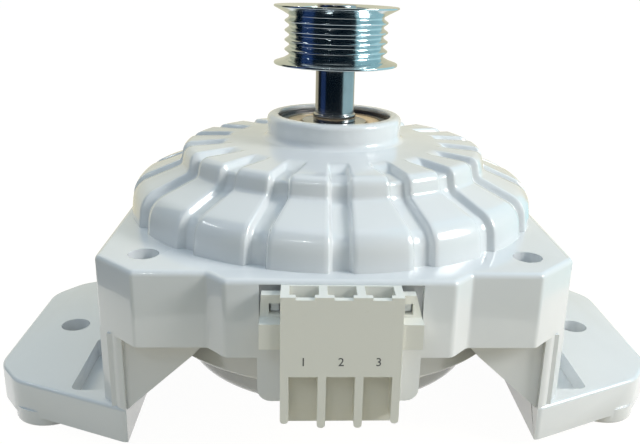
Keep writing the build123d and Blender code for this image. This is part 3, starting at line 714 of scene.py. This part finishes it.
# Terminal block
def connector_mesh(s):
    """Terminal block with pockets, channels, rounded ribs, snap tabs and back plate."""
    front, back = BLOCK_FRONT, BLOCK_BACK
    channel_back, ahead = -57.2, BLOCK_FRONT - 2.0
    top, bottom, above = -0.9, -24.0, 2.0
    tab_root, tab_tip = 11.5, s.half_width + 4.2
    tab_top, tab_shoulder, tab_step, tab_bottom = -2.2, -6.9, -7.0, -12.4
    width = (2 * s.half_width - 4 * s.wall) / 3
    pitch = width + s.wall
    body = block("block", -s.half_width, s.half_width, front, back, bottom, top)
    add = [block("back", -s.half_width, s.half_width, channel_back, back, -31.2, -23.0)]
    for k, low in enumerate((-28.8, -29.8, -29.8, -28.8)):
        left = -s.half_width + k * pitch
        rib = rounded([(left, -23), (left, low), (left + s.wall, low), (left + s.wall, -23)],
                      [0, 0.75, 0.75, 0], 4)
        add.append(upright_prism("rib", rib, front, -57.0))
    for side, slant in ((-1, 0.3), (1, 1.3)):
        tab = [(side * tab_root, tab_top), (side * (tab_tip - slant), tab_top),
               (side * tab_tip, tab_shoulder), (side * tab_tip, tab_bottom),
               (side * tab_root, tab_bottom)]
        add.append(upright_prism("tab", tab, -57.8, back))
        step = [(side * tab_root, tab_step), (side * tab_tip, tab_step), (side * tab_tip, tab_bottom),
                (side * tab_root, tab_bottom)]
        add.append(upright_prism("tab step", step, -61.2, -57.0))
    mesh = combine(body, add, "UNION")
    cut = []
    for x in (-pitch, 0.0, pitch):
        left, right = x - width / 2, x + width / 2
        cut.append(block("pocket", left, right, -60.6, -56.2, -12.0, above))
        cut.append(block("channel", left, right, ahead, channel_back, -34.0, -18.1))
        cut.append(block("duct", left + 0.3, right - 0.3, -60.5, channel_back, -20.0, -14.2))
        cut.append(block("notch", x - width * 0.28, x + width * 0.36, ahead, -60.0, -1.45, above))
    for side in (-1, 1):
        middle = side * (s.half_width + 1.15)
        cut.append(block("window", middle - 1.2, middle + 1.2, ahead, -55.0, -6.4, -4.0))
    return combine(mesh, cut, "DIFFERENCE")


def number_mesh(text, x, z, size):
    """Printed number, standing on the front of the terminal block."""
    curve = bpy.data.curves.new("number " + text, "FONT")
    curve.body = text
    curve.size = size * MM
    curve.align_x = "CENTER"
    curve.extrude = 0.02 * MM
    curve.resolution_u = 4
    thing = bpy.data.objects.new("number", curve)
    bpy.context.scene.collection.objects.link(thing)
    mesh = evaluated(thing)
    bpy.data.objects.remove(thing)
    place = Matrix.Translation((x * MM, (BLOCK_FRONT - 0.01) * MM, z * MM))
    mesh.transform(place @ Matrix.Rotation(pi / 2, 4, "X"))
    return mesh


class MOTOR_OT_connector(bpy.types.Operator):
    """Build the three-way terminal block with its printed numbers"""
    bl_idname = "motor.connector"
    bl_label = "Terminal block"

    def execute(self, context):
        settings = context.scene.motor_connector
        nylon = connector_material()
        block_piece = piece("terminal_block", connector_mesh(settings), nylon,
                            nodes=("connector_housing",))
        soften(block_piece, settings.edge, 2)
        ink = moulded("grey print", (0.10, 0.10, 0.10), (0.16, 0.16, 0.15), 0.5, 0.7, 0.1)
        for number, x in (("1", -7.5), ("2", 0.0), ("3", 7.5)):
            piece("print_" + number, number_mesh(number, x, -15.6, 2.6), ink,
                  smooth=False)
        return {"FINISHED"}


# Shaft and pulley
def pulley_profile(s):
    """Pulley from its lower flange over the belt grooves to the upper flange and the recess."""
    grooves, bottom, recess = 5, 36.6, 9.6
    low = bottom + 1.2
    points = [(SHAFT_RADIUS, bottom), (s.flange, bottom), (s.flange, bottom + 0.55),
              (s.crest + 0.2, low + 0.1)]
    radii = [0, 0.22, 0.22, 0.4]
    for k in range(grooves):
        start = low + k * s.pitch
        middle = start + s.pitch / 2
        if k:
            points.append((s.crest, start))
            radii.append(0.28)
        points.append((s.valley, middle))
        radii.append(0.42)
    top = low + grooves * s.pitch
    points += [(s.crest + 0.2, top - 0.1), (s.flange, top + 1.05), (s.flange, top + 1.5),
               (s.flange - 0.8, top + 1.5), (recess, top + 1.0), (recess, top), (SHAFT_RADIUS, top)]
    radii += [0.4, 0.2, 0.2, 0.3, 0.3, 0.2, 0]
    return rounded(points, radii, 4)


class MOTOR_OT_pulley(bpy.types.Operator):
    """Build the grooved pulley and the shaft"""
    bl_idname = "motor.pulley"
    bl_label = "Pulley and shaft"

    def execute(self, context):
        settings = context.scene.motor_pulley
        tint = tuple(settings.tint)
        plated = turned("bright zinc plate", tint, (0.50, 0.58, 0.60), 0.08, 0.18, 0.12, lines=6000.0)
        piece("belt_pulley", lathe("pulley", pulley_profile(settings), 180), plated, body="rotor",
              nodes=("pulley",))
        steel = tuple(context.scene.motor_bearing.steel_tint)
        ground = turned("ground shaft steel", steel, (0.33, 0.33, 0.33), 0.12, 0.24, 0.2, lines=9000.0)
        points = [(0.0, -36.3), (SHAFT_RADIUS, -36.3), (SHAFT_RADIUS, BEARING_TOP), (5.5, 22.4),
                  (5.5, 24.1), (SHAFT_RADIUS, 24.3), (SHAFT_RADIUS, 51.4), (1.2, 51.4), (0.0, 49.5)]
        outline = rounded(points, [0, 0.5, 0.0, 0.1, 0.3, 0.2, 0.5, 0.1, 0], 3)
        piece("drive_shaft", lathe("shaft", outline, 96), ground, body="rotor", nodes=("shaft",))
        return {"FINISHED"}


class MOTOR_OT_bearing(bpy.types.Operator):
    """Build the sealed bearing in the collar and its steel cup"""
    bl_idname = "motor.bearing"
    bl_label = "Upper bearing"

    def execute(self, context):
        settings = context.scene.motor_bearing
        tint = tuple(settings.seal_tint)
        seal = moulded("brown bearing seal", tint, (0.62, 0.44, 0.26), 0.35, 0.5, 0.3)
        steel = turned("polished ring steel", tuple(settings.steel_tint), (0.3, 0.3, 0.3), 0.14, 0.25)
        dark = turned("dark drawn steel", (0.16, 0.15, 0.15), (0.10, 0.08, 0.07), 0.3, 0.5)
        seal_profile = [(8.45, 0.45), (9.0, 0.3), (10.0, 0.3), (10.3, 0.42), (11.6, 0.42), (12.0, 0.3),
                        (12.3, 0.4), (12.3, 0.7), (8.45, 0.7)]
        for name, face, inward in (("upper_seal", BEARING_TOP, -1),
                                   ("upper_seal_inside", BEARING_TOP - BEARING_HEIGHT, 1)):
            ring = [(radius, face + inward * depth) for radius, depth in seal_profile]
            piece(name, lathe(name, ring), seal, nodes=("upper_shields",))
        outer, bore, lip, foot, top = 15.8, 15.0, 14.2, 12.7, 22.8
        sleeve = rounded([(outer, foot), (outer, top), (lip, top), (lip, BEARING_TOP),
                          (bore, BEARING_TOP), (bore, foot)], [0, 0.5, 0.15, 0.1, 0, 0], 4)
        piece("bearing_sleeve", lathe("bearing sleeve", sleeve), dark, nodes=("bearing_cup",))
        for node in ("upper_inner_ring", "upper_outer_ring", "lower_inner_ring", "lower_outer_ring"):
            dress(node, steel)
        return {"FINISHED"}


def dress(node, material):
    """Give a node of the frame its finish."""
    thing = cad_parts[node]
    thing.data.materials.clear()
    thing.data.materials.append(material)


class MOTOR_OT_inside(bpy.types.Operator):
    """Give the pieces inside the housing their finishes"""
    bl_idname = "motor.inside"
    bl_label = "Inner pieces"

    def execute(self, context):
        sheet = turned("stacked sheet steel", (0.28, 0.29, 0.31), (0.20, 0.17, 0.14), 0.35, 0.5, 0.6,
                       lines=2000.0)
        nylon = moulded("green nylon", (0.10, 0.24, 0.16), (0.08, 0.18, 0.12), 0.4, 0.55)
        wire = turned("enamelled copper", (0.60, 0.26, 0.10), (0.42, 0.16, 0.06), 0.2, 0.35, 0.8,
                      lines=1400.0)
        ferrite = moulded("ground ferrite", (0.06, 0.06, 0.065), (0.09, 0.085, 0.08), 0.5, 0.65)
        resin = moulded("black hub resin", (0.035, 0.035, 0.04), (0.06, 0.06, 0.06), 0.45, 0.6)
        spring = turned("spring steel", (0.35, 0.35, 0.36), (0.24, 0.22, 0.20), 0.2, 0.35)
        screw = turned("zinc screw steel", (0.55, 0.56, 0.56), (0.42, 0.42, 0.38), 0.2, 0.35)
        brass = turned("tinned brass", (0.66, 0.63, 0.55), (0.55, 0.48, 0.34), 0.2, 0.32)
        cage = moulded("nylon cage", (0.70, 0.64, 0.50), (0.60, 0.54, 0.42), 0.4, 0.5)
        ball = turned("ball steel", (0.60, 0.60, 0.61), (0.5, 0.5, 0.5), 0.05, 0.1)
        shield = turned("bearing shield steel", (0.45, 0.45, 0.44), (0.33, 0.30, 0.26), 0.2, 0.35)
        finishes = {
            sheet: ("stator_core", "rotor_core"),
            nylon: ("insulator_upper", "insulator_lower", "lead_guide_ring"),
            wire: ("coils_phase_u", "coils_phase_v", "coils_phase_w"),
            ferrite: ("rotor_magnets",),
            resin: ("rotor_hub",),
            spring: ("retaining_rings", "wave_washer"),
            screw: ("cover_screws",),
            brass: ("terminals", "neutral_ring"),
            cage: ("upper_cage", "lower_cage"),
            ball: ("upper_balls", "lower_balls"),
            shield: ("lower_shields",),
        }
        for material, nodes in finishes.items():
            for node in nodes:
                dress(node, material)
        return {"FINISHED"}


# Stage
def area_lamp(name, place, target, width, height, power, tint):
    """Rectangular lamp at a place in metres, turned to its target."""
    lamp = bpy.data.lights.new(name, "AREA")
    lamp.shape = "RECTANGLE"
    lamp.size = width
    lamp.size_y = height
    lamp.energy = power
    lamp.color = tint
    thing = bpy.data.objects.new(name, lamp)
    thing.location = place
    direction = Vector(target) - Vector(place)
    thing.rotation_euler = direction.to_track_quat("-Z", "Y").to_euler()
    bpy.context.scene.collection.objects.link(thing)
    return thing


def seen_white(tree):
    """One where the camera, a reflection or a transmission looks, zero for light on the object."""
    path = tree.nodes.new("ShaderNodeLightPath")
    both = compute(tree, "MAXIMUM", path.outputs["Is Camera Ray"], path.outputs["Is Glossy Ray"])
    return compute(tree, "MAXIMUM", both, path.outputs["Is Transmission Ray"])


def floor_material(tint):
    """Plain floor that tints the light on the object and looks nearly white itself."""
    glow_share, glow_strength = 0.8, 1.21
    material = bpy.data.materials.new("plain floor")
    material.use_nodes = True
    tree = material.node_tree
    shader = tree.nodes["Principled BSDF"]
    speckle = noise(tree, tree.nodes.new("ShaderNodeTexCoord").outputs["Object"], 60.0)
    tree.links.new(mix(tree, speckle, (*tint, 1.0), (*[c * 0.98 for c in tint], 1.0)),
                   shader.inputs["Base Color"])
    shader.inputs["Roughness"].default_value = 0.8
    shader.inputs["Specular IOR Level"].default_value = 0.1
    glow = tree.nodes.new("ShaderNodeEmission")
    blend = tree.nodes.new("ShaderNodeMixShader")
    glow.inputs["Strength"].default_value = glow_strength
    tree.links.new(compute(tree, "MULTIPLY", seen_white(tree), glow_share), blend.inputs[0])
    tree.links.new(shader.outputs[0], blend.inputs[1])
    tree.links.new(glow.outputs[0], blend.inputs[2])
    tree.links.new(blend.outputs[0], tree.nodes["Material Output"].inputs["Surface"])
    return material


def card_material(name, tint, other):
    """Glowing card, cloudy between two tints."""
    material = bpy.data.materials.new(name)
    material.use_nodes = True
    tree = material.node_tree
    shader = tree.nodes["Principled BSDF"]
    speckle = noise(tree, tree.nodes.new("ShaderNodeTexCoord").outputs["Object"], 6.0)
    colour = mix(tree, speckle, (*tint, 1.0), (*other, 1.0))
    shader.inputs["Base Color"].default_value = (0, 0, 0, 1)
    shader.inputs["Roughness"].default_value = 1.0
    shader.inputs["Specular IOR Level"].default_value = 0.0
    tree.links.new(colour, shader.inputs["Emission Color"])
    shader.inputs["Emission Strength"].default_value = 1.0
    return material


def card(name, first, last, material):
    """Curved card that only reflections see, over the floor and upright, between two angles."""
    steps = 24
    inner, outer, low_edge, high_edge = 0.16, 0.8, -0.0455, 2.6

    def build(bm):
        rows = []
        for radius, z in ((inner, low_edge), (outer, low_edge), (outer, high_edge)):
            turns = [radians(first + (last - first) * k / steps) for k in range(steps + 1)]
            rows.append([bm.verts.new((radius * sin(t), -radius * cos(t), z)) for t in turns])
        for low, high in zip(rows, rows[1:]):
            for k in range(steps):
                bm.faces.new([low[k], low[k + 1], high[k + 1], high[k]])
    mesh = mesh_of(name, build)
    mesh.materials.append(material)
    thing = bpy.data.objects.new(name, mesh)
    thing.visible_camera = False
    thing.visible_diffuse = False
    thing.visible_shadow = False
    thing.visible_transmission = False
    bpy.context.scene.collection.objects.link(thing)
    return thing


def camera():
    """Camera of the photograph."""
    data = bpy.data.cameras.new("camera")
    data.sensor_width = SENSOR_WIDTH
    data.lens = FOCAL_LENGTH / PHOTO_WIDTH * SENSOR_WIDTH
    data.shift_x = (PHOTO_WIDTH / 2 - MIDDLE_COLUMN) / PHOTO_WIDTH
    data.clip_start = 0.01
    data.clip_end = 50.0
    thing = bpy.data.objects.new("camera", data)
    right, down, ahead = (Vector(row).normalized() for row in (CAMERA_RIGHT, CAMERA_DOWN, CAMERA_AHEAD))
    turn = Matrix((right, -down, -ahead)).transposed()
    thing.matrix_world = Matrix.Translation(CAMERA_PLACE) @ turn.to_4x4()
    bpy.context.scene.collection.objects.link(thing)
    bpy.context.scene.camera = thing
    return thing


class MOTOR_OT_stage(bpy.types.Operator):
    """Set up the floor, the lamps, the surroundings and the camera"""
    bl_idname = "motor.stage"
    bl_label = "Stage"

    def execute(self, context):
        settings = context.scene.motor_stage
        context.scene.view_settings.view_transform = "Standard"

        def build(bm):
            level = FEET_BOTTOM * MM - 0.00005
            reach = 9
            bm.faces.new([bm.verts.new((x * reach, y * reach, level))
                          for x, y in ((-1, -1), (1, -1), (1, 1), (-1, 1))])
        mesh = mesh_of("floor", build)
        mesh.materials.append(floor_material(tuple(settings.floor)))
        ground = bpy.data.objects.new("floor", mesh)
        context.scene.collection.objects.link(ground)

        dark = card_material("dark card", (0.002, 0.007, 0.014), (0.004, 0.012, 0.020))
        blue = card_material("blue card", (0.02, 0.05, 0.16), (0.03, 0.07, 0.20))
        cyan = card_material("cyan card", (0.46, 0.80, 0.88), (0.62, 0.90, 0.96))
        cream = card_material("cream card", (0.64, 0.60, 0.42), (0.76, 0.73, 0.57))
        card("dark card left", -118, -92, dark)
        card("blue card left", -92, -60, blue)
        card("dark card front", -60, 46, dark)
        card("cyan card right", 46, 140, cyan)
        card("cream card behind", -220, -118, cream)

        world = bpy.data.worlds.new("surroundings")
        context.scene.world = world
        world.use_nodes = True
        tree = world.node_tree
        background = tree.nodes["Background"]
        split = tree.nodes.new("ShaderNodeSeparateXYZ")
        tree.links.new(tree.nodes.new("ShaderNodeTexCoord").outputs["Generated"], split.inputs[0])
        height = ramp(tree, split.outputs["Z"], 0.0, 1.0, 0.0, 0.8)
        sky = mix(tree, height, (0.89, 0.94, 0.98, 1.0), (0.64, 0.84, 1.0, 1.0))
        tree.links.new(mix(tree, seen_white(tree), sky, WHITE), background.inputs["Color"])
        level = ramp(tree, height, settings.horizon, settings.sky)
        tree.links.new(ramp(tree, seen_white(tree), level, 1.0), background.inputs["Strength"])

        area_lamp("key lamp", (0.650, -0.237, 0.40), (0, 0, 0), 0.26, 0.26, settings.key,
                  (1.0, 0.99, 0.96))
        back = area_lamp("back lamp", (-0.45, 0.45, 0.42), (0, 0, 0.02), 0.3, 0.3, settings.back,
                         (1.0, 0.94, 0.84))
        back.visible_glossy = False
        for name, place in (("tube lamp front", (-0.25, -0.62, 0.60)),
                            ("tube lamp left", (-0.70, -0.05, 0.60))):
            area_lamp(name, place, (0, 0, 0), 0.18, 0.012, 0.3, (0.97, 0.99, 1.0))
        camera()
        return {"FINISHED"}


OPERATORS = (MOTOR_OT_housing, MOTOR_OT_cover, MOTOR_OT_connector, MOTOR_OT_pulley, MOTOR_OT_bearing,
             MOTOR_OT_inside, MOTOR_OT_stage)


class MOTOR_PT_sidebar(bpy.types.Panel):
    """Sizes, colours and build buttons of the motor"""
    bl_label = "Washing machine motor"
    bl_idname = "MOTOR_PT_sidebar"
    bl_space_type = "VIEW_3D"
    bl_region_type = "UI"
    bl_category = "Motor"

    def draw(self, context):
        layout = self.layout
        for name, group in SETTINGS.items():
            box = layout.box()
            box.label(text=name.replace("motor_", "").capitalize())
            for label in group.__annotations__:
                box.prop(getattr(context.scene, name), label)
        for operator in OPERATORS:
            layout.operator(operator.bl_idname)


def register():
    for group in SETTINGS.values():
        bpy.utils.register_class(group)
    for name, group in SETTINGS.items():
        setattr(bpy.types.Scene, name, PointerProperty(type=group))
    for operator in OPERATORS:
        bpy.utils.register_class(operator)
    bpy.utils.register_class(MOTOR_PT_sidebar)


def unregister():
    bpy.utils.unregister_class(MOTOR_PT_sidebar)
    for operator in reversed(OPERATORS):
        bpy.utils.unregister_class(operator)
    for name, group in SETTINGS.items():
        delattr(bpy.types.Scene, name)
        bpy.utils.unregister_class(group)


def corners(box):
    """Corners of a box as plain numbers."""
    return [[float(value) for value in point] for point in box]


def main():
    """Build the motor and the stage."""
    register()
    bpy.ops.motor.housing()
    bpy.ops.motor.cover()
    bpy.ops.motor.connector()
    bpy.ops.motor.pulley()
    bpy.ops.motor.bearing()
    bpy.ops.motor.inside()
    bpy.ops.motor.stage()


if __name__ == "__main__":
    main()
